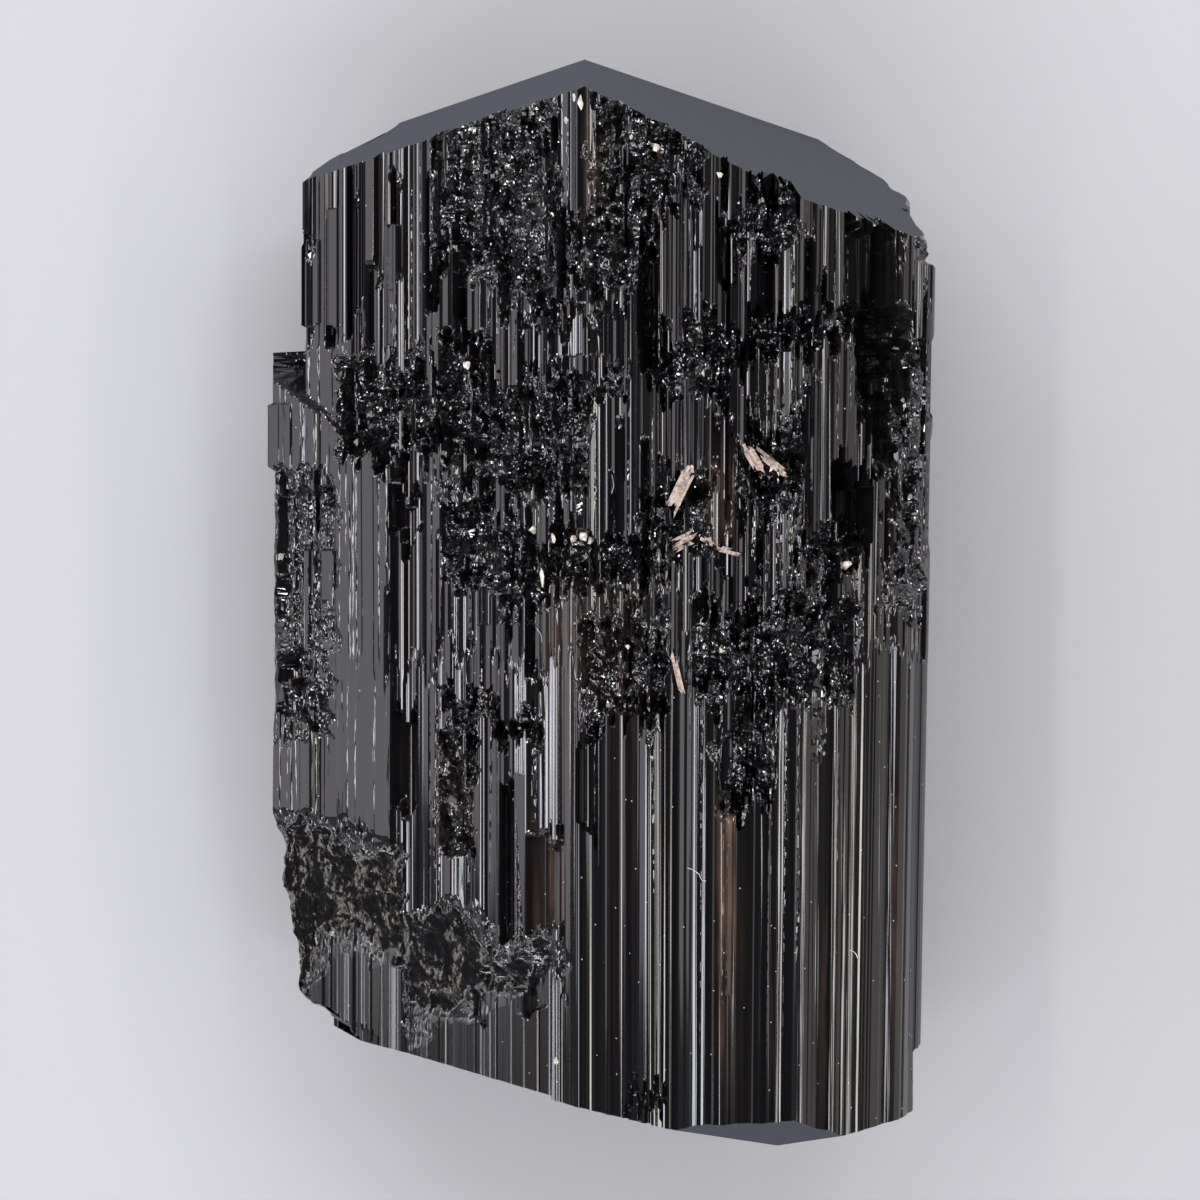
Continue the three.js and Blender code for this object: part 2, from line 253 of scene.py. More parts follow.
# Colours of the tourmaline: its black, the paler lines painted along it as the glints of striae too fine to
# model, light from inside, dust, and the bluish sheen painted onto the end faces
BLACK = (0.002, 0.002, 0.0023, 1)
PAINTED_STRIAE_GLINT = (0.012, 0.011, 0.011, 1)
INSIDE = (0.15, 0.085, 0.055, 1)
DUST = (0.4, 0.4, 0.4, 1)
# Bluish cast painted onto the end faces, standing in for the cool sheen they reflect
PAINTED_END_SHEEN = (0.010, 0.014, 0.026, 1)
TOURMALINE_IOR = 1.64

# Specks of dust: spacing, their radius as a share of it, and how much they cover
DUST_SPACING = 0.8
DUST_RADIUS = 0.045
DUST_COVER = 0.8

# Roughness of the glossiest and the dullest striae, and of the other places
STRIAE_ROUGHNESS = (0.02, 0.09)
ETCHED_ROUGHNESS = 0.04
DULL_ROUGHNESS = 0.14
BROKEN_ROUGHNESS = 0.16
END_FACE_ROUGHNESS = 0.6

# Height of the low relief in the material: fine lines, waves of the smooth faces, grit of the ledge
LINE_HEIGHT = 0.006
WAVE_HEIGHT = 0.022
GRIT_HEIGHT = 0.14

# Small flakes of the rough places: size, how far they tilt, and how far the ledge's are turned to look up
FLAKE_SIZE = 0.56
FLAKE_STRETCH = (1, 1.9, 1)
ETCHED_TILT = 1.4
BROKEN_TILT = 0.5
TURNED_UP = (0, 0, 4)

# Layered flakes lodged in the hollows: pixel at each end, width in millimetres, splinters side by side
LATHS = [
    ((668, 513), (690, 468), 0.66, 5),
    ((740, 442), (758, 472), 0.5, 4),
    ((754, 452), (784, 476), 0.36, 3),
    ((673, 546), (691, 537), 0.66, 5),
    ((699, 536), (722, 549), 0.36, 3),
    ((716, 548), (739, 554), 0.3, 2),
    ((671, 650), (680, 688), 0.26, 2),
    ((627, 583), (634, 600), 0.3, 2),
]

# A splinter: how far its ends fall short, share of half width, height of top and foot, skew of its ends
SPLINTER_SHORT = (-0.15, 0.6)
SPLINTER_HALF_WIDTH = (0.5, 0.75)
SPLINTER_TOP = (0.1, 0.32)
SPLINTER_TOP_UNEVEN = (-0.04, 0.04)
SPLINTER_FOOT = -0.15
SPLINTER_SKEW = (-0.2, 0.2)
SPLINTER_FACES = [(0, 1, 5, 4), (2, 6, 7, 3), (0, 2, 3, 1), (4, 5, 7, 6), (0, 4, 6, 2), (1, 3, 7, 5)]

# Pale crumbs: pixel, width and height in pixels
GRAINS = [
    (534, 530, 10, 8), (553, 538, 7, 12), (573, 538, 10, 10), (583, 534, 12, 14), (590, 541, 7, 9),
    (843, 565, 13, 10), (720, 649, 9, 8), (467, 365, 8, 10), (542, 577, 5, 22), (574, 100, 6, 13),
    (580, 107, 7, 15), (566, 124, 5, 8), (630, 141, 6, 7), (655, 152, 11, 9), (717, 180, 8, 7),
    (690, 470, 7, 9), (768, 470, 8, 6), (628, 646, 8, 5), (815, 352, 6, 5), (556, 1056, 5, 9),
]

# A crumb: corners drawn, how far out they are, thickness to its lesser side, and share that it is lifted by
GRAIN_CORNERS = 11
GRAIN_REACH = (0.7, 1.2)
GRAIN_THICKNESS = 0.8
GRAIN_LIFT = 0.4

# Threads of lint: pixels along each
FIBRES = [
    [(536, 612), (535, 620), (537, 628), (541, 634), (542, 641)],
    [(686, 864), (692, 866), (697, 870), (700, 876), (704, 877)],
    [(846, 946), (850, 947), (853, 950), (855, 955)],
    [(608, 470), (612, 478), (613, 487), (611, 494)],
]
FIBRE_RADIUS = 0.018
FIBRE_LIFT = 0.05

# Height, well above the crystal, from which pixels are looked up
LOOK_FROM = 40

# Matter on the crystal: colour, colour of the darker clouds in it, roughness
MICA = ((0.4, 0.31, 0.25), (0.1, 0.065, 0.05), 0.5)
FELDSPAR = ((0.66, 0.6, 0.51), (0.24, 0.19, 0.15), 0.55)
LINT = ((0.6, 0.58, 0.55), (0.4, 0.38, 0.36), 0.8)

# The clouds: size, contrast, and how far the darker colour holds out
CLOUD_SIZE = 0.2
CLOUD_CONTRAST = 3.0
CLOUD_DARK = 0.9

# Tints of the lamps
COOL = (0.93, 0.95, 1.05)
WARM = (1.05, 0.99, 0.93)
VIOLET = (0.98, 0.96, 1.05)
PLAIN = (1, 1, 1)

# Soft boxes: degrees off the zenith, degrees round from +X, distance, level width and height, watts, tint
SOFT_BOXES = {
    "left_box": (62, 164, 0.4, (0.26, 0.2), 0.25, VIOLET),
    "right_box": (62, 0, 0.4, (0.5, 0.2), 0.2, WARM),
    "back_box": (52, 90, 0.5, (0.7, 0.14), 1.3, PLAIN),
    "front_box": (52, 270, 0.5, (0.7, 0.14), 1.1, PLAIN),
}

# Narrow lights round the crystal: degrees off the zenith, degrees round from +X, watts, tint
STRIPS = [
    (24, 180, 0.32, WARM),
    (43, 180, 0.34, COOL),
    (78, 180, 0.34, COOL),
    (22, 0, 0.24, COOL),
    (46, 0, 0.22, WARM),
    (76, 0, 0.22, WARM),
    (34, 90, 0.8, COOL),
    (34, 270, 0.8, COOL),
]
STRIP_DISTANCE = 0.4
STRIP_SIZE = (0.5, 0.02)

# Sky: sine of the elevation and brightness, bluish cast, strength, and what is added along the axis
SKY_LEVELS = [(0.0, 0.5), (0.5, 0.8), (0.7, 0.7), (0.82, 0.35), (0.94, 0.08), (1.0, 0.01)]
SKY_BLUE = 1.03
SKY_STRENGTH = 0.17
SKY_ALONG_AXIS = 0.6

# Floor: half its side, colour, roughness
FLOOR_HALF = 2
FLOOR_COLOUR = (0.36, 0.36, 0.365, 1)
FLOOR_ROUGHNESS = 0.9

# Camera: distance above the upper point of the crystal, sensor width in millimetres, how far it sees
CAMERA_DISTANCE = 0.6
SENSOR_WIDTH = 36
CAMERA_REACH = 20


def random_source(seed):
    """A repeatable source of random numbers."""
    return np.random.default_rng(seed)


def unit(vectors):
    return vectors / np.linalg.norm(vectors, axis=-1, keepdims=True)


def smoothstep(low, high, values):
    t = np.clip((values - low) / (high - low), 0, 1)
    return t * t * (3 - 2 * t)


def cell_random(ix, iy, seed):
    """A number from 0 to 1 for every integer cell."""
    h = (ix.astype(np.int64) * 374761393 + iy.astype(np.int64) * 668265263 + seed * 2147483647) & 0xFFFFFFFF
    h = ((h ^ (h >> 13)) * 1274126177) & 0xFFFFFFFF
    h = ((h ^ (h >> 16)) * 2246822519) & 0xFFFFFFFF
    return ((h ^ (h >> 15)) & 0xFFFFFF) / 0xFFFFFF


def smooth_noise(u, v, seed):
    """Smooth noise from 0 to 1 with cells of unit size."""
    iu, iv = np.floor(u), np.floor(v)
    fu, fv = smoothstep(0, 1, u - iu), smoothstep(0, 1, v - iv)
    corner = [[cell_random(iu + a, iv + b, seed) for b in (0, 1)] for a in (0, 1)]
    low = corner[0][0] * (1 - fu) + corner[1][0] * fu
    high = corner[0][1] * (1 - fu) + corner[1][1] * fu
    return low * (1 - fv) + high * fv


def uneven(x, y, size, seed):
    """Smooth noise from -0.5 to 0.5 with cells of a width and a height."""
    return smooth_noise(x / size[0], y / size[1], seed) - 0.5


def facets(x, y, size, seed, tilt):
    """Height of angular facets that meet in sharp edges, in cells of a width and a height."""
    u, v = x / size[0], y / size[1]
    iu, iv = np.floor(u), np.floor(v)
    height = np.full(u.shape, -9.0)
    for a in (-1, 0, 1):
        for b in (-1, 0, 1):
            cu, cv = iu + a, iv + b
            du = u - cu - cell_random(cu, cv, seed)
            dv = v - cv - cell_random(cu, cv, seed + 1)
            turn = cell_random(cu, cv, seed + 2) * 2 * np.pi
            lean = tilt * (du * np.cos(turn) + dv * np.sin(turn))
            fall = 1.2 * np.maximum(0, np.hypot(du, dv) - 0.4)
            height = np.maximum(height, 0.5 * cell_random(cu, cv, seed + 3) + lean - fall)
    return height


def column_shift(x):
    """How far each narrow column of the etched side reaches on along the axis past its neighbours."""
    wide = cell_random(np.floor((x + 0.2 * np.sin(9 * x)) / WIDE_COLUMN), 0 * x, 61) - 0.5
    narrow = cell_random(np.floor(x / NARROW_COLUMN), 0 * x, 62) - 0.5
    shift = WIDE_SHIFT * wide + NARROW_SHIFT * narrow
    return shift * smoothstep(*COLUMNS_LEFT, x) * smoothstep(*COLUMNS_RIGHT, x)


def box_mask(x, y, boxes, edge):
    """1 inside any of the boxes, 0 outside, over a soft edge."""
    mask = np.zeros(np.shape(x))
    for left, right, bottom, top in boxes:
        inside = np.minimum.reduce([x - left, right - x, y - bottom, top - y])
        mask = np.maximum(mask, smoothstep(-edge / 2, edge / 2, inside))
    return mask


def ragged(x, y):
    """A place moved about so that straight borders come out ragged, with fingers along the axis."""
    sweeping = smoothstep(*SWEEPING_X, x) * smoothstep(*SWEEPING_Y, y)
    swell_x = uneven(x, y, (0.9, 1.1), 11)
    swell_y = uneven(x, y, (1.1, 1.2), 12)
    sweep = uneven(x, y, (2.6, 2.2), 14)
    small = uneven(x, y, (0.3, 0.35), 13)
    along = column_shift(x) * (1 - sweeping) + 1.6 * sweep * sweeping
    moved = 1 - box_mask(x, y, [SIDE_TOP], SIDE_TOP_EDGE)
    return x + moved * (0.9 * swell_x + 0.4 * small), y + moved * (along + 0.9 * swell_y + 0.5 * small)


def hackly_mask(x, y, z):
    """How far a place lies in the hackly fields, from 0 to 1; a few columns are left standing."""
    row = np.floor((y + 3 * column_shift(x)) / STANDING_LENGTH)
    standing = cell_random(np.floor(x / STANDING_WIDTH), row, 15) > ETCHED_SHARE
    lightly = 1 - (1 - LIGHT_SHARE) * box_mask(x, y, [LIGHTLY_ETCHED], LIGHT_EDGE)
    return box_mask(*ragged(x, y), HACKLY, HACKLY_EDGE) * smoothstep(*UPPER_FADE, z) * lightly * ~standing


def ledge_mask(x, y, z, edge):
    """How far a place lies on the broken ledge, from 0 to 1 over a soft edge."""
    corners, tops, feet = np.transpose(LEDGE)
    near_x, near_y = ragged(x, y)
    below = np.interp(near_x, corners, tops) - near_y
    above = near_y - np.interp(near_x, corners, feet)
    inside = np.minimum.reduce([below, above, corners[-1] - near_x])
    return smoothstep(-0.5 * edge, 0.5 * edge, inside) * smoothstep(*LEDGE_FADE, z)


def staircase(along, seed, tread, lean, rise):
    """Striae across the axis: treads that lean a little, parted by narrow steep steps up or down."""
    random = random_source(seed)
    places, heights = [along.min() - 1], [0.0]
    while places[-1] < along.max() + 1:
        width = tread[0] + (tread[1] - tread[0]) * random.random() ** 2
        places.append(places[-1] + width)
        heights.append(heights[-1] + width * random.uniform(-lean, lean))
        climb = random.uniform(0.35, 1) * rise
        step = -climb if heights[-1] > 0 else climb
        places.append(places[-1] + random.uniform(*STEP_WIDTH))
        heights.append(heights[-1] + step)
    heights = np.array(heights)
    return np.interp(along, places, heights - heights.min())


def convex_outline(points):
    """Corners of the convex hull of points in a plane, anticlockwise."""
    ordered = sorted(map(tuple, points))
    halves = []
    for sequence in (ordered, ordered[::-1]):
        half = []
        for p in sequence:
            while len(half) > 1:
                (ax, ay), (bx, by) = half[-2], half[-1]
                if (bx - ax) * (p[1] - ay) - (by - ay) * (p[0] - ax) > 1e-9:
                    break
                half.pop()
            half.append(p)
        halves += half[:-1]
    return np.array(halves)


def guide_outline():
    """Places round the outline square to the axis, their outward directions, and the distance along it."""
    corners = convex_outline(np.round(straight_solid()[:, [0, 2]], 3))
    start = np.argmin(np.abs(corners[:, 1]) + 0.001 * corners[:, 0])
    corners = np.roll(corners, -start, axis=0)
    sides = np.roll(corners, -1, axis=0) - corners
    lengths = np.linalg.norm(sides, axis=1)
    ends = np.concatenate([[0], np.cumsum(lengths)])
    normals = unit(np.stack([sides[:, 1], -sides[:, 0]], axis=1))

    def at(s):
        side = np.clip(np.searchsorted(ends, s % ends[-1], side="right") - 1, 0, len(sides) - 1)
        place = corners[side] + sides[side] * ((s % ends[-1] - ends[side]) / lengths[side])[:, None]
        return place, normals[side]

    s, steps = 0.0, []
    while s < ends[-1]:
        steps.append(s)
        up = at(np.array([s]))[1][0][1]
        s += UPPER_STEP if up > UPPER_FROM else SIDE_STEP if up > SIDE_FROM else UNDER_STEP
    steps = np.array(steps)
    places, _ = at(steps)
    window = np.linspace(-MEAN_REACH, MEAN_REACH, MEAN_PLACES)
    outward = unit(sum(at(steps + w)[1] for w in window))
    return places, outward, steps


def end_normal(end, azimuth, slope):
    """Outward direction of an end face."""
    turn, lean = math.radians(azimuth), math.radians(slope)
    across = math.sin(lean)
    return np.array([math.cos(turn) * across, end * math.cos(lean), -math.sin(turn) * across])


def tapered(x, y):
    """The solid's right side at its full width, narrowed to what it is at y."""
    return np.where(x > 0, x * (1 - TAPER * (WIDEST_AT - y) / LENGTH), x)


def straight_solid():
    """The solid with its taper taken out, so that its striae run true to the axis."""
    corners = np.array([v.co for v in solid.data.vertices]) / MM
    corners[:, 0] /= np.where(corners[:, 0] > 0, tapered(1.0, corners[:, 1]), 1.0)
    return corners


def cast_surface(places, outward):
    """Depth of the straight solid's surface below a grid of places, walls run on past the crystal's ends."""
    corners = [Vector(c) for c in straight_solid()]
    tree = BVHTree.FromPolygons(corners, [p.vertices for p in solid.data.polygons])
    read_at = places.copy()
    read_at[..., 1] = ragged(places[..., 0], places[..., 1])[1]
    depth = np.full(places.shape[:2], np.nan)
    for i, way in enumerate(outward):
        inward = Vector(-way)
        for j, start in enumerate(read_at[i] + way * RAY_CLEAR):
            hit = tree.ray_cast(Vector(start), inward, RAY_REACH)
            if hit[0] is not None:
                depth[i, j] = hit[3] - RAY_CLEAR
    inside = ~np.isnan(depth)
    at = read_at - outward[:, None] * np.nan_to_num(depth)[..., None]
    at[..., 0] = tapered(at[..., 0], at[..., 1])
    for apex, end, azimuth, slope in END_FACES:
        inside &= (at - np.array(apex)) @ end_normal(end, azimuth, slope) < -END_MARGIN
    for i in range(len(depth)):
        good = np.flatnonzero(inside[i])
        if len(good) == 0:
            depth[i] = depth[i - 1]
        else:
            depth[i] = np.interp(np.arange(len(depth[i])), good, depth[i, good])
    return depth


def etched_slots(x, y, z):
    """Narrow columns of the etched side that stop and start: depth of the stretches that are eaten away."""
    random = random_source(31)
    edges = np.cumsum(random.uniform(*SLOT_WIDTH, SLOT_COUNT)) + SLOTS_LEFT
    wavering = 0.6 * uneven(x, y, (0.12, 0.5), 34)
    depth = np.zeros(x.shape)
    for left, right in zip(edges[:-1], edges[1:]):
        for _ in range(random.integers(0, 3)):
            middle, half = random.uniform(*SLOT_MIDDLE), random.uniform(*SLOT_HALF_LENGTH)
            deep = random.choice(SLOT_DEPTHS)
            sides = np.minimum(x - left, right - x)
            ends = half - np.abs(y + wavering - middle)
            depth = np.maximum(depth, deep * smoothstep(0, 0.05, sides) * smoothstep(0, 0.9, ends))
    for left, right, bottom, top, deep in BLACK_SLOTS:
        sides = np.minimum(x - left, right - x)
        ends = np.minimum(y - bottom, top - y) + wavering
        depth = np.maximum(depth, deep * smoothstep(0, 0.15, sides) * smoothstep(0, 0.6, ends))
    return depth * smoothstep(*UPPER_FADE, z) * smoothstep(*SLOTS_FADE, y + column_shift(x))


def leaning_columns(x, y, outward):
    """Depth of the flat columns that lean, and where they are."""
    faces = np.degrees(np.arctan2(outward[:, 0], outward[:, 2]))[:, None]
    depth, where = np.zeros(x.shape), np.zeros(x.shape)
    for left, right, bottom, top, lean in LEANING:
        slope = np.tan(np.radians(lean - faces))
        edge = 0.3 * smooth_noise(x / 0.15, 0 * y, 91)
        here = (x > left) & (x < right) & (y > bottom + edge) & (y < top - edge)
        depth = np.where(here, np.maximum(slope * (x - left), slope * (x - right)), depth)
        where = np.where(here, 1.0, where)
    return depth, where


def striae(x, y, along, outward):
    """Depth of the striae, which are finer on the upper half and all but gone on the smooth faces."""
    lower = staircase(along, seed=21, tread=(0.12, 0.8), lean=0.1, rise=0.09)[:, None]
    upper = staircase(along, seed=23, tread=(0.1, 0.5), lean=0.14, rise=0.12)[:, None]
    finer = smoothstep(*FINER_FADE, y + column_shift(x)) * smoothstep(*FINER_SIDE, outward[:, 2])[:, None]
    smooth_face = box_mask(x, y, SMOOTH, SMOOTH_EDGE)
    low = smooth_noise(x / 2.4, y / 4.5, 81) + 0.3 * smooth_noise(x / 0.8, y / 2.0, 82)
    stepped = lower * (1 - finer) + upper * finer
    return stepped * (1 - STRIAE_LOST_SMOOTH * smooth_face) + LOW_WAVES * low * smooth_face


def rough_relief(x, y):
    """Depth of the crumpled facets of the hackly fields, and of the broken ledge's shells."""
    bent_x = x + 0.5 * uneven(x, y, (0.6, 0.6), 42)
    bent_y = y + 0.5 * uneven(x, y, (0.6, 0.6), 43)
    swell = 1 - smooth_noise(x / 1.7, y / 1.4, 40)
    shell = facets(bent_x, bent_y, size=(2.4, 1.5), seed=71, tilt=0.5)
    coarse = facets(bent_x, bent_y, size=(1.2, 0.8), seed=41, tilt=0.7)
    fine = facets(bent_x, bent_y, size=(0.6, 0.34), seed=51, tilt=0.9)
    crumpled = np.maximum(0.65 * swell - 0.5 * coarse - 0.3 * fine + 0.3, 0)
    broken = 0.5 * (1 - shell) + 0.2 * (1 - coarse) + 0.08 * (1 - fine)
    return crumpled, broken


def fine_relief(x, y, z, along, outward):
    """How far the fine surface is carved in below the solid's."""
    hackly = hackly_mask(x, y, z)
    ledge = ledge_mask(x, y, z, LEDGE_EDGE)
    rough = np.maximum(hackly, ledge)
    crumpled, broken = rough_relief(x, y)
    slots = etched_slots(x, y, z) * (1 - box_mask(x, y, SMOOTH, SMOOTH_EDGE))
    relief = striae(x, y, along, outward) * (1 - STRIAE_LOST_ROUGH * rough)
    relief = relief + slots * (1 - SLOTS_LOST_ROUGH * rough)
    relief = relief + crumpled * hackly * (1 - ledge) + broken * ledge
    leaned, leaning = leaning_columns(x, y, outward)
    relief = relief * (1 - leaning) + leaned * leaning
    return relief * smoothstep(*UNDERSIDE_FADE, outward[:, 2])[:, None]


def closed_tube(points):
    """Faces of a tube through a grid of points (columns round it, rows along it), closed at both ends."""
    columns, rows = points.shape[:2]
    index = np.arange(columns * rows).reshape(columns, rows)
    following = np.roll(index, -1, axis=0)
    a, b, c, d = index[:, :-1], following[:, :-1], following[:, 1:], index[:, 1:]
    quads = np.stack([a, d, c, b], axis=-1).reshape(-1, 4)
    ends = [index[:, 0], index[::-1, -1]]
    return points.reshape(-1, 3), quads, ends


def mesh_object(name, vertices, faces):
    mesh = bpy.data.meshes.new(name)
    mesh.from_pydata([tuple(v) for v in vertices], [], [tuple(int(i) for i in f) for f in faces])
    mesh.update()
    piece = bpy.data.objects.new(name, mesh)
    bpy.context.scene.collection.objects.link(piece)
    return piece


def apply_modifiers(piece):
    evaluated = piece.evaluated_get(bpy.context.evaluated_depsgraph_get())
    mesh = bpy.data.meshes.new_from_object(evaluated)
    piece.modifiers.clear()
    mesh.materials.clear()
    piece.data = mesh


def end_block():
    """A block whose ends are the crystal's end faces."""
    block = bmesh.new()
    bmesh.ops.create_cube(block, size=LENGTH * 3 * MM)
    for apex, end, azimuth, slope in END_FACES:
        everything = block.verts[:] + block.edges[:] + block.faces[:]
        cut = bmesh.ops.bisect_plane(
            block, geom=everything, plane_co=Vector(apex) * MM,
            plane_no=Vector(end_normal(end, azimuth, slope)), clear_outer=True, dist=1e-7,
        )
        rim = [e for e in cut["geom_cut"] if isinstance(e, bmesh.types.BMEdge)]
        bmesh.ops.contextual_create(block, geom=rim)
    bmesh.ops.recalc_face_normals(block, faces=block.faces[:])
    piece = mesh_object("end_block", [], [])
    block.to_mesh(piece.data)
    block.free()
    return piece


def dressed_crystal():
    """The crystal with its fine surface: a carved tube, thinned and cut to the end faces."""
    outline, normals, along = guide_outline()
    rows = np.arange(-LENGTH / 2 - OVERHANG, LENGTH / 2 + OVERHANG, ROW_STEP)
    places = np.stack(np.broadcast_arrays(outline[:, :1], rows, outline[:, 1:]), axis=-1)
    outward = np.stack([normals[:, 0], 0 * along, normals[:, 1]], axis=-1)
    depth = cast_surface(places, outward)
    surface = places - outward[:, None] * depth[..., None]
    carved = fine_relief(*np.moveaxis(surface, -1, 0), along, outward)
    surface -= outward[:, None] * carved[..., None]
    surface[..., 0] = tapered(surface[..., 0], surface[..., 1])
    vertices, quads, ends = closed_tube(surface * MM)
    piece = mesh_object("tourmaline", vertices, [*quads, *ends])
    fewer = piece.modifiers.new("fewer", "DECIMATE")
    fewer.ratio = min(1.0, TRIANGLES / (2 * len(quads)))
    cutter = end_block()
    cut = piece.modifiers.new("ends", "BOOLEAN")
    cut.operation = "INTERSECT"
    cut.solver = "MANIFOLD"
    cut.object = cutter
    apply_modifiers(piece)
    bpy.data.objects.remove(cutter)
    return piece


def on_end_faces(mesh):
    """For every face of the mesh, whether it lies on one of the crystal's end faces."""
    middles = np.zeros(len(mesh.polygons) * 3, np.float32)
    normals = np.zeros(len(mesh.polygons) * 3, np.float32)
    mesh.polygons.foreach_get("center", middles)
    mesh.polygons.foreach_get("normal", normals)
    found = np.zeros(len(mesh.polygons), bool)
    for apex, way, azimuth, slope in END_FACES:
        square = end_normal(way, azimuth, slope)
        near = np.abs((middles.reshape(-1, 3) / MM - np.array(apex)) @ square) < ON_PLANE
        found |= near & (normals.reshape(-1, 3) @ square > SAME_WAY)
    return found


def brown_light(x, y):
    """Strength of the brown light from inside, which fades out at the ends of a column."""
    brown = np.zeros(len(x))
    for left, right, bottom, top, share in BROWN:
        across = smoothstep(0, BROWN_SIDE_FADE, np.minimum(x - left, right - x))
        lengthwise = smoothstep(0, BROWN_END_FADE, np.minimum(y - bottom, top - y))
        brown = np.maximum(brown, share * across * lengthwise)
    return brown


def write_masks(piece):
    """Masks that the material reads: etched, broken, dull, smooth and brown places, and the end faces."""
    mesh = piece.data
    corners = np.zeros(len(mesh.vertices) * 3, np.float32)
    mesh.vertices.foreach_get("co", corners)
    x, y, z = corners.reshape(-1, 3).T / MM
    etched = hackly_mask(x, y, z)
    upper = smoothstep(*UPPER_FADE, z)
    speckle = BROKEN_SPECKLE * uneven(x, y, (0.4, 0.5), 95)
    masks = {
        "etched": etched,
        "broken": smoothstep(*BROKEN_TURN, ledge_mask(x, y, z, BROKEN_EDGE) + speckle),
        "dull": box_mask(x, y, DULL, DULL_EDGE) * smoothstep(*LEDGE_FADE, z),
        "smooth": box_mask(x, y, SMOOTH, SMOOTH_EDGE) * upper,
        "brown": brown_light(x, y) * upper * (1 - 0.8 * etched),
    }
    for name, values in masks.items():
        mesh.attributes.new(name, "FLOAT", "POINT").data.foreach_set("value", values.astype(np.float32))
    end_face = on_end_faces(mesh).astype(np.float32)
    mesh.attributes.new("end_face", "FLOAT", "FACE").data.foreach_set("value", end_face)


class Nodes:
    """Short calls for making and joining shader nodes."""

    def __init__(self, tree):
        self.tree = tree

    def add(self, kind, inputs=None, **settings):
        node = self.tree.nodes.new(kind)
        for name, value in settings.items():
            setattr(node, name, value)
        for name, value in (inputs or {}).items():
            if isinstance(value, bpy.types.NodeSocket):
                self.tree.links.new(value, node.inputs[name])
            else:
                node.inputs[name].default_value = value
        return node

    def math(self, operation, a, b):
        return self.add("ShaderNodeMath", {0: a, 1: b}, operation=operation).outputs[0]

    def vector(self, operation, a, b):
        return self.add("ShaderNodeVectorMath", {0: a, 1: b}, operation=operation).outputs[0]

    def scaled(self, vector, share):
        return self.add("ShaderNodeVectorMath", {0: vector, "Scale": share}, operation="SCALE").outputs[0]

    def blend(self, share, a, b):
        """Number a where share is 0, b where it is 1."""
        return self.add("ShaderNodeMix", {0: share, 2: a, 3: b}, data_type="FLOAT").outputs[0]

    def blend_colour(self, share, a, b):
        return self.add("ShaderNodeMix", {0: share, 6: a, 7: b}, data_type="RGBA").outputs[2]

    def mask(self, name):
        return self.add("ShaderNodeAttribute", attribute_name=name).outputs["Fac"]

    def in_mm(self, stretch=(1, 1, 1)):
        """Place on the object in millimetres, times a stretch."""
        place = self.add("ShaderNodeTexCoord").outputs["Object"]
        scale = [way / MM for way in stretch]
        return self.add("ShaderNodeMapping", {"Vector": place, "Scale": scale}).outputs[0]

    def noise(self, size, stretch=(1, 1, 1), detail=2.0, output="Fac"):
        """Noise with grains of a size, drawn out along the axes where the stretch is under 1."""
        inputs = {"Vector": self.in_mm(stretch), "Scale": 1 / size, "Detail": detail}
        return self.add("ShaderNodeTexNoise", inputs).outputs[output]

    def cells(self, place, size, output):
        return self.add("ShaderNodeTexVoronoi", {"Vector": place, "Scale": 1 / size}).outputs[output]


def new_material(name):
    """A material, the calls for its nodes, and its shader."""
    material = bpy.data.materials.new(name)
    material.use_nodes = True
    return material, Nodes(material.node_tree), material.node_tree.nodes["Principled BSDF"]


def schorl_colour(nodes, end_face):
    """Black striae with paler lines painted along them as the glints of striae too fine to model, brown from
    inside in places, under specks of dust; the end faces have a painted bluish sheen.
    """
    # Painted glints: paler lines drawn out along the axis, standing in for the light caught by striae too
    # fine to model
    painted_glint_share = nodes.math("POWER", nodes.noise(0.25, (1, 0.008, 1)), 2.0)
    black = nodes.blend_colour(painted_glint_share, BLACK, PAINTED_STRIAE_GLINT)
    patchy = nodes.math("POWER", nodes.noise(0.3, (1, 0.1, 1)), 2.0)
    tinted = nodes.blend_colour(nodes.math("MULTIPLY", patchy, nodes.mask("brown")), black, INSIDE)
    specks = nodes.math("LESS_THAN", nodes.cells(nodes.in_mm(), DUST_SPACING, "Distance"), DUST_RADIUS)
    dusty = nodes.blend_colour(nodes.math("MULTIPLY", specks, DUST_COVER), tinted, DUST)
    # The end faces take a painted bluish sheen
    return nodes.blend_colour(end_face, dusty, PAINTED_END_SHEEN)


def schorl_normal(nodes, etched, broken, prism_face):
    """Low relief of the prism faces, and small flakes that look every way in the rough places."""
    lines = nodes.math("MULTIPLY", nodes.noise(0.14, (1, 0.003, 1), detail=1), LINE_HEIGHT)
    waves = nodes.math("MULTIPLY", nodes.noise(0.35, (1, 0.12, 1)), WAVE_HEIGHT)
    grit = nodes.math("MULTIPLY", nodes.noise(0.25), GRIT_HEIGHT)
    height = nodes.blend(broken, nodes.blend(nodes.mask("smooth"), lines, waves), grit)
    height = nodes.math("MULTIPLY", height, prism_face)
    bump = nodes.add("ShaderNodeBump", {"Height": height, "Distance": MM, "Strength": 1.0})
    swirl = nodes.scaled(nodes.noise(0.5, output="Color"), 0.9)
    flakes_at = nodes.vector("ADD", nodes.in_mm(FLAKE_STRETCH), swirl)
    every_way = nodes.vector("SUBTRACT", nodes.cells(flakes_at, FLAKE_SIZE, "Color"), (0.5, 0.5, 0.5))
    much = nodes.blend(broken, nodes.math("MULTIPLY", etched, ETCHED_TILT), BROKEN_TILT)
    tilted = nodes.vector("ADD", bump.outputs["Normal"], nodes.scaled(every_way, much))
    risen = nodes.vector("ADD", tilted, nodes.scaled(TURNED_UP, broken))
    return nodes.add("ShaderNodeVectorMath", {0: risen}, operation="NORMALIZE").outputs[0]


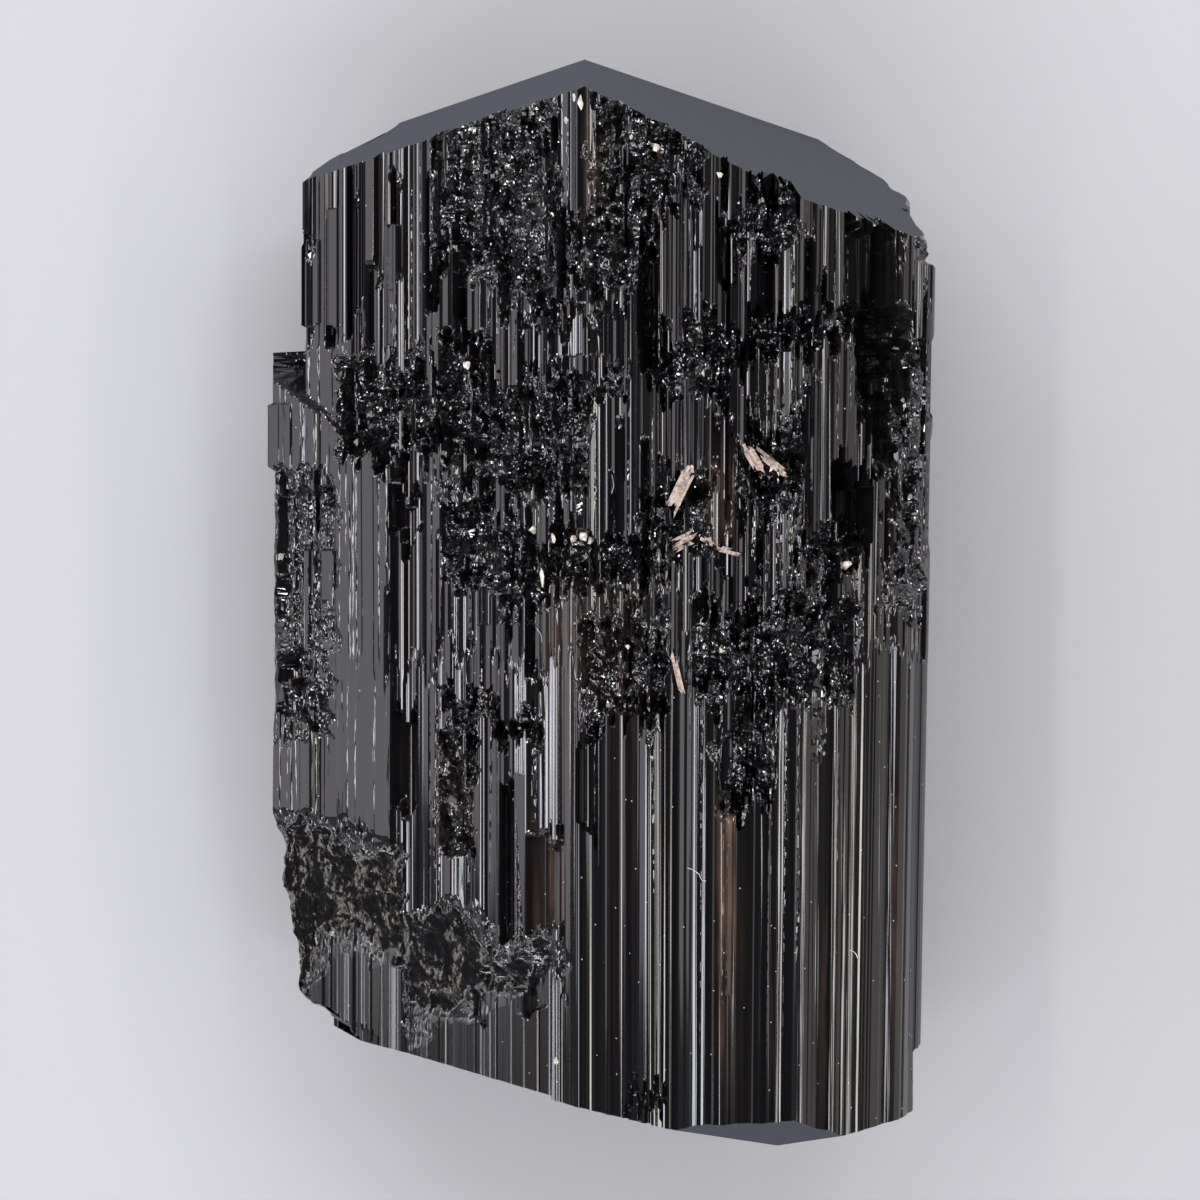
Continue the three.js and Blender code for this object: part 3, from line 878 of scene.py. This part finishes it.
def schorl_roughness(nodes, etched, broken, end_face):
    striated = nodes.blend(nodes.noise(0.4, (1, 0.03, 1)), *STRIAE_ROUGHNESS)
    glittering = nodes.blend(etched, striated, ETCHED_ROUGHNESS)
    columns = nodes.blend(nodes.mask("dull"), glittering, DULL_ROUGHNESS)
    prism = nodes.blend(broken, columns, BROKEN_ROUGHNESS)
    return nodes.blend(end_face, prism, END_FACE_ROUGHNESS)


def schorl_material():
    """Black tourmaline: glossy striae, glittering rough places and dull end faces."""
    material, nodes, shader = new_material("schorl")
    end_face = nodes.mask("end_face")
    prism_face = nodes.math("SUBTRACT", 1.0, end_face)
    etched = nodes.math("MULTIPLY", nodes.mask("etched"), prism_face)
    broken = nodes.math("MULTIPLY", nodes.mask("broken"), prism_face)
    links = material.node_tree.links
    links.new(schorl_colour(nodes, end_face), shader.inputs["Base Color"])
    links.new(schorl_roughness(nodes, etched, broken, end_face), shader.inputs["Roughness"])
    links.new(schorl_normal(nodes, etched, broken, prism_face), shader.inputs["Normal"])
    shader.inputs["IOR"].default_value = TOURMALINE_IOR
    return material


def over_photo(px, py):
    """Place in millimetres under a pixel of the photograph."""
    return (px - PHOTO_CENTRE) * MM_PER_PIXEL, (PHOTO_CENTRE - py) * MM_PER_PIXEL


class Surface:
    """The dressed crystal, asked for its height under a pixel of the photograph."""

    def __init__(self, piece):
        corners = [v.co / MM for v in piece.data.vertices]
        self.tree = BVHTree.FromPolygons(corners, [p.vertices for p in piece.data.polygons])

    def under(self, px, py, lift=0.0):
        hit = self.tree.ray_cast(Vector((*over_photo(px, py), LOOK_FROM)), Vector((0, 0, -1)))
        return hit[0] + Vector((0, 0, lift))


def lath(surface, start, end, width, splinters, seed):
    """A layered flake lying between two pixels: splinters side by side, with uneven ends and heights."""
    random = random_source(seed)
    a, b = surface.under(*start), surface.under(*end)
    axis = (b - a).normalized()
    side = axis.cross(Vector((0, 0, 1))).normalized()
    up = side.cross(axis)
    vertices, faces = [], []
    for k in range(splinters):
        ends = [a + axis * random.uniform(*SPLINTER_SHORT), b - axis * random.uniform(*SPLINTER_SHORT)]
        middle = side * width * ((k + 0.5) / splinters - 0.5)
        half = width / splinters * random.uniform(*SPLINTER_HALF_WIDTH)
        top = random.uniform(*SPLINTER_TOP)
        first = len(vertices)
        for end_point, skew in zip(ends, random.uniform(*SPLINTER_SKEW, 2)):
            for level in (SPLINTER_FOOT, top + random.uniform(*SPLINTER_TOP_UNEVEN)):
                for way in (-1, 1):
                    vertices.append(end_point + middle + side * way * half + axis * skew * way + up * level)
        faces += [tuple(first + i for i in face) for face in SPLINTER_FACES]
    return vertices, faces


def grain(surface, px, py, width, height, seed):
    """An angular crumb, width by height in pixels, sunk a little into the surface."""
    random = random_source(seed)
    size = Vector((width, height, GRAIN_THICKNESS * min(width, height))) * (MM_PER_PIXEL / 2)
    middle = surface.under(px, py, GRAIN_LIFT * size.z)
    crumb = bmesh.new()
    for way in unit(random.normal(size=(GRAIN_CORNERS, 3))):
        reach = random.uniform(*GRAIN_REACH)
        crumb.verts.new(middle + Vector([w * s * reach for w, s in zip(way, size)]))
    bmesh.ops.convex_hull(crumb, input=crumb.verts[:])
    bmesh.ops.delete(crumb, geom=[v for v in crumb.verts if not v.link_faces], context="VERTS")
    crumb.verts.index_update()
    vertices = [v.co.copy() for v in crumb.verts]
    faces = [tuple(v.index for v in face.verts) for face in crumb.faces]
    crumb.free()
    return vertices, faces


def fibre(surface, pixels):
    """A thread of lint along a run of pixels, standing just clear of the surface."""
    points = [surface.under(*pixel, FIBRE_LIFT) for pixel in pixels]
    round_it = [(1, 0), (0, 1), (-1, 0), (0, -1)]
    count = len(round_it)
    vertices, faces = [], []
    for i, point in enumerate(points):
        along = (points[min(i + 1, len(points) - 1)] - points[max(i - 1, 0)]).normalized()
        side = along.cross(Vector((0, 0, 1))).normalized()
        up = side.cross(along)
        vertices += [point + (side * c + up * s) * FIBRE_RADIUS for c, s in round_it]
        for k in range(count if i else 0):
            a, b = count * (i - 1) + k, count * (i - 1) + (k + 1) % count
            faces.append((a, b, b + count, a + count))
    last = len(vertices) - count
    return vertices, [*faces, tuple(reversed(range(count))), tuple(range(last, len(vertices)))]


def one_piece(name, parts, material):
    """Join many small closed bits into one piece that rides on the crystal."""
    vertices, faces = [], []
    for bit_vertices, bit_faces in parts:
        first = len(vertices)
        vertices += [v * MM for v in bit_vertices]
        faces += [tuple(first + i for i in face) for face in bit_faces]
    piece = mesh_object(name, vertices, faces)
    piece.data.materials.append(material)
    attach(piece, "root")


def cloudy_material(name, colour, darker, roughness):
    """A mineral of one colour with darker clouds in it."""
    material, nodes, shader = new_material(name)
    cloud = nodes.math("MULTIPLY", nodes.noise(CLOUD_SIZE, detail=3), CLOUD_CONTRAST)
    mixed = nodes.blend_colour(nodes.math("SUBTRACT", cloud, CLOUD_DARK), (*darker, 1), (*colour, 1))
    material.node_tree.links.new(mixed, shader.inputs["Base Color"])
    shader.inputs["Roughness"].default_value = roughness
    return material


def pale_bits(surface):
    """Flakes, crumbs and lint on the crystal."""
    laths = [lath(surface, *shape, 100 + k) for k, shape in enumerate(LATHS)]
    grains = [grain(surface, *shape, 200 + k) for k, shape in enumerate(GRAINS)]
    fibres = [fibre(surface, pixels) for pixels in FIBRES]
    one_piece("mica_laths", laths, cloudy_material("weathered_mica", *MICA))
    one_piece("feldspar_grains", grains, cloudy_material("feldspar", *FELDSPAR))
    one_piece("lint", fibres, cloudy_material("lint", *LINT))


def pale_floor():
    h = FLOOR_HALF
    floor = mesh_object("floor", [(-h, -h, 0), (h, -h, 0), (h, h, 0), (-h, h, 0)], [(0, 1, 2, 3)])
    material, _, shader = new_material("pale_floor")
    shader.inputs["Base Color"].default_value = FLOOR_COLOUR
    shader.inputs["Roughness"].default_value = FLOOR_ROUGHNESS
    floor.data.materials.append(material)


def area_light(name, tilt, turn, distance, size, power, colour):
    """A lamp tilt degrees off the zenith, turned round from +X; its size is level width, then height."""
    light = bpy.data.lights.new(name, "AREA")
    light.shape = "RECTANGLE"
    light.size, light.size_y = size
    light.energy = power
    light.color = colour
    lamp = bpy.data.objects.new(name, light)
    t, a = math.radians(tilt), math.radians(turn)
    way = Vector((math.sin(t) * math.cos(a), math.sin(t) * math.sin(a), math.cos(t)))
    lamp.location = way * distance
    lamp.rotation_mode = "QUATERNION"
    lamp.rotation_quaternion = way.to_track_quat("Z", "Y")
    lamp.visible_camera = False
    bpy.context.scene.collection.objects.link(lamp)


def sky():
    """A soft sky that is dark overhead and brighter along the crystal's axis."""
    world = bpy.data.worlds.new("studio")
    world.use_nodes = True
    nodes = Nodes(world.node_tree)
    way = nodes.add("ShaderNodeTexCoord").outputs["Generated"]
    parts = nodes.add("ShaderNodeSeparateXYZ", {0: way}).outputs
    ramp = nodes.add("ShaderNodeValToRGB", {"Fac": parts["Z"]})
    while len(ramp.color_ramp.elements) < len(SKY_LEVELS):
        ramp.color_ramp.elements.new(0.5)
    for element, (position, level) in zip(ramp.color_ramp.elements, SKY_LEVELS):
        element.position = position
        element.color = (level, level, level * SKY_BLUE, 1)
    along_axis = nodes.math("MULTIPLY", nodes.math("ABSOLUTE", parts["Y"], 0.0), SKY_ALONG_AXIS)
    background = world.node_tree.nodes["Background"]
    world.node_tree.links.new(ramp.outputs["Color"], background.inputs["Color"])
    world.node_tree.links.new(nodes.math("ADD", along_axis, SKY_STRENGTH), background.inputs["Strength"])
    bpy.context.scene.world = world
    bpy.context.scene.view_settings.view_transform = "Standard"


def studio():
    pale_floor()
    for name, box in SOFT_BOXES.items():
        area_light(name, *box)
    for tilt, turn, power, tint in STRIPS:
        area_light("strip", tilt, turn, STRIP_DISTANCE, STRIP_SIZE, power, tint)
    sky()


def camera():
    """A camera straight above the crystal, framed as the photograph is."""
    data = bpy.data.cameras.new("camera")
    data.sensor_width = SENSOR_WIDTH
    data.lens = SENSOR_WIDTH * CAMERA_DISTANCE / (PHOTO_SIZE * MM_PER_PIXEL * MM)
    data.clip_end = CAMERA_REACH
    eye = bpy.data.objects.new("camera", data)
    eye.location = (0, 0, CAMERA_DISTANCE + TOP_APEX[2] * MM)
    bpy.context.scene.collection.objects.link(eye)
    bpy.context.scene.camera = eye


crystal = dressed_crystal()
crystal.data.shade_flat()
write_masks(crystal)
crystal.data.materials.append(schorl_material())
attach(crystal, "root")
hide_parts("crystal")
pale_bits(Surface(crystal))
studio()
camera()
